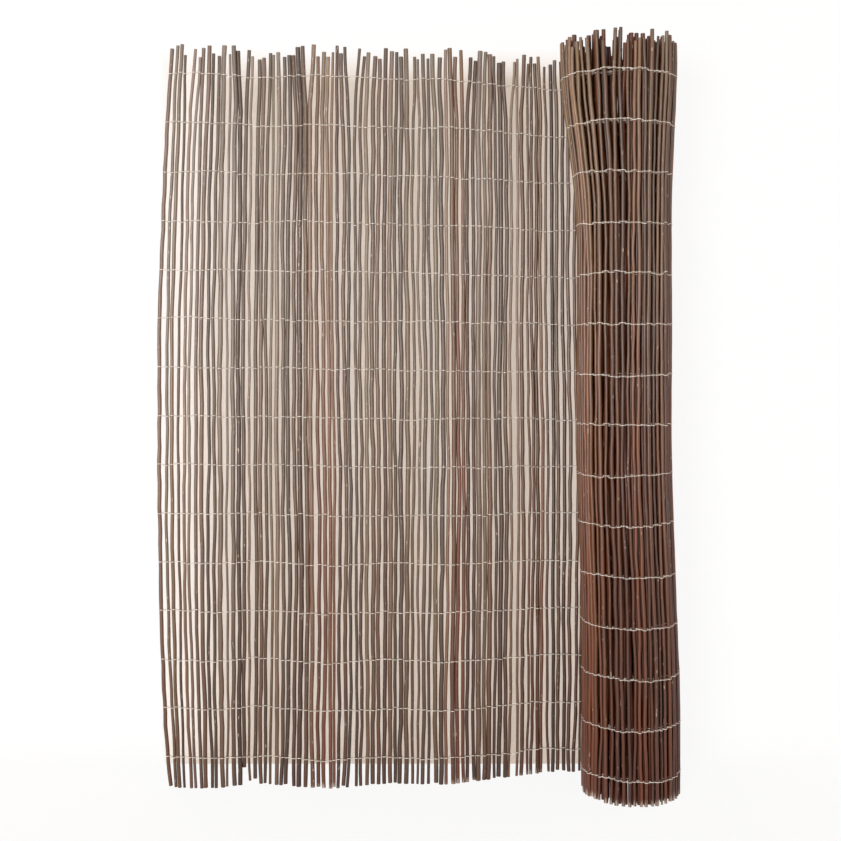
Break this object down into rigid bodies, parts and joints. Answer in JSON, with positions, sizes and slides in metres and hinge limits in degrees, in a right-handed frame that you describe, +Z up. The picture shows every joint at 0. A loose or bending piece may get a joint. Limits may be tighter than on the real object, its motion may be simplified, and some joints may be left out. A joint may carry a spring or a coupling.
{
  "type": "willow screen fence panel",
  "caption": "Screen of upright willow rods tied side by side by rows of wire, run out as a wavy panel with the rest still wound up as a roll at one end.",
  "frame": {"origin": "on the ground, at the middle of the plan's box", "axes": "+X along the panel towards the roll, +Y from the front of the panel to its back, +Z up the rods"},
  "size_m": [1.033, 0.206, 1.502],
  "materials": {
    "willow_bark": "dry bark, matt to satin",
    "tie_wire": "galvanised, dull"
  },
  "bodies": {
    "root": {"inner_turns": "willow_bark", "outer_turn_rods_01": "willow_bark", "outer_turn_rods_02": "willow_bark", "outer_turn_rods_03": "willow_bark", "outer_turn_rods_04": "willow_bark", "outer_turn_rods_05": "willow_bark", "outer_turn_rods_06": "willow_bark", "outer_turn_rods_07": "willow_bark", "outer_turn_rods_08": "willow_bark", "outer_turn_rods_09": "willow_bark", "outer_turn_rods_10": "willow_bark", "outer_turn_rods_11": "willow_bark", "panel_rods_1": "willow_bark", "panel_rods_2": "willow_bark", "panel_rods_3": "willow_bark", "panel_rods_4": "willow_bark", "panel_rods_5": "willow_bark", "panel_rods_6": "willow_bark", "panel_rods_7": "willow_bark", "panel_rods_8": "willow_bark", "tie_wire_01": "tie_wire", "tie_wire_02": "tie_wire", "tie_wire_03": "tie_wire", "tie_wire_04": "tie_wire", "tie_wire_05": "tie_wire", "tie_wire_06": "tie_wire", "tie_wire_07": "tie_wire", "tie_wire_08": "tie_wire", "tie_wire_09": "tie_wire", "tie_wire_10": "tie_wire", "tie_wire_11": "tie_wire", "tie_wire_12": "tie_wire", "tie_wire_13": "tie_wire", "tie_wire_14": "tie_wire", "tie_wire_15": "tie_wire"}
  },
  "joints": []
}
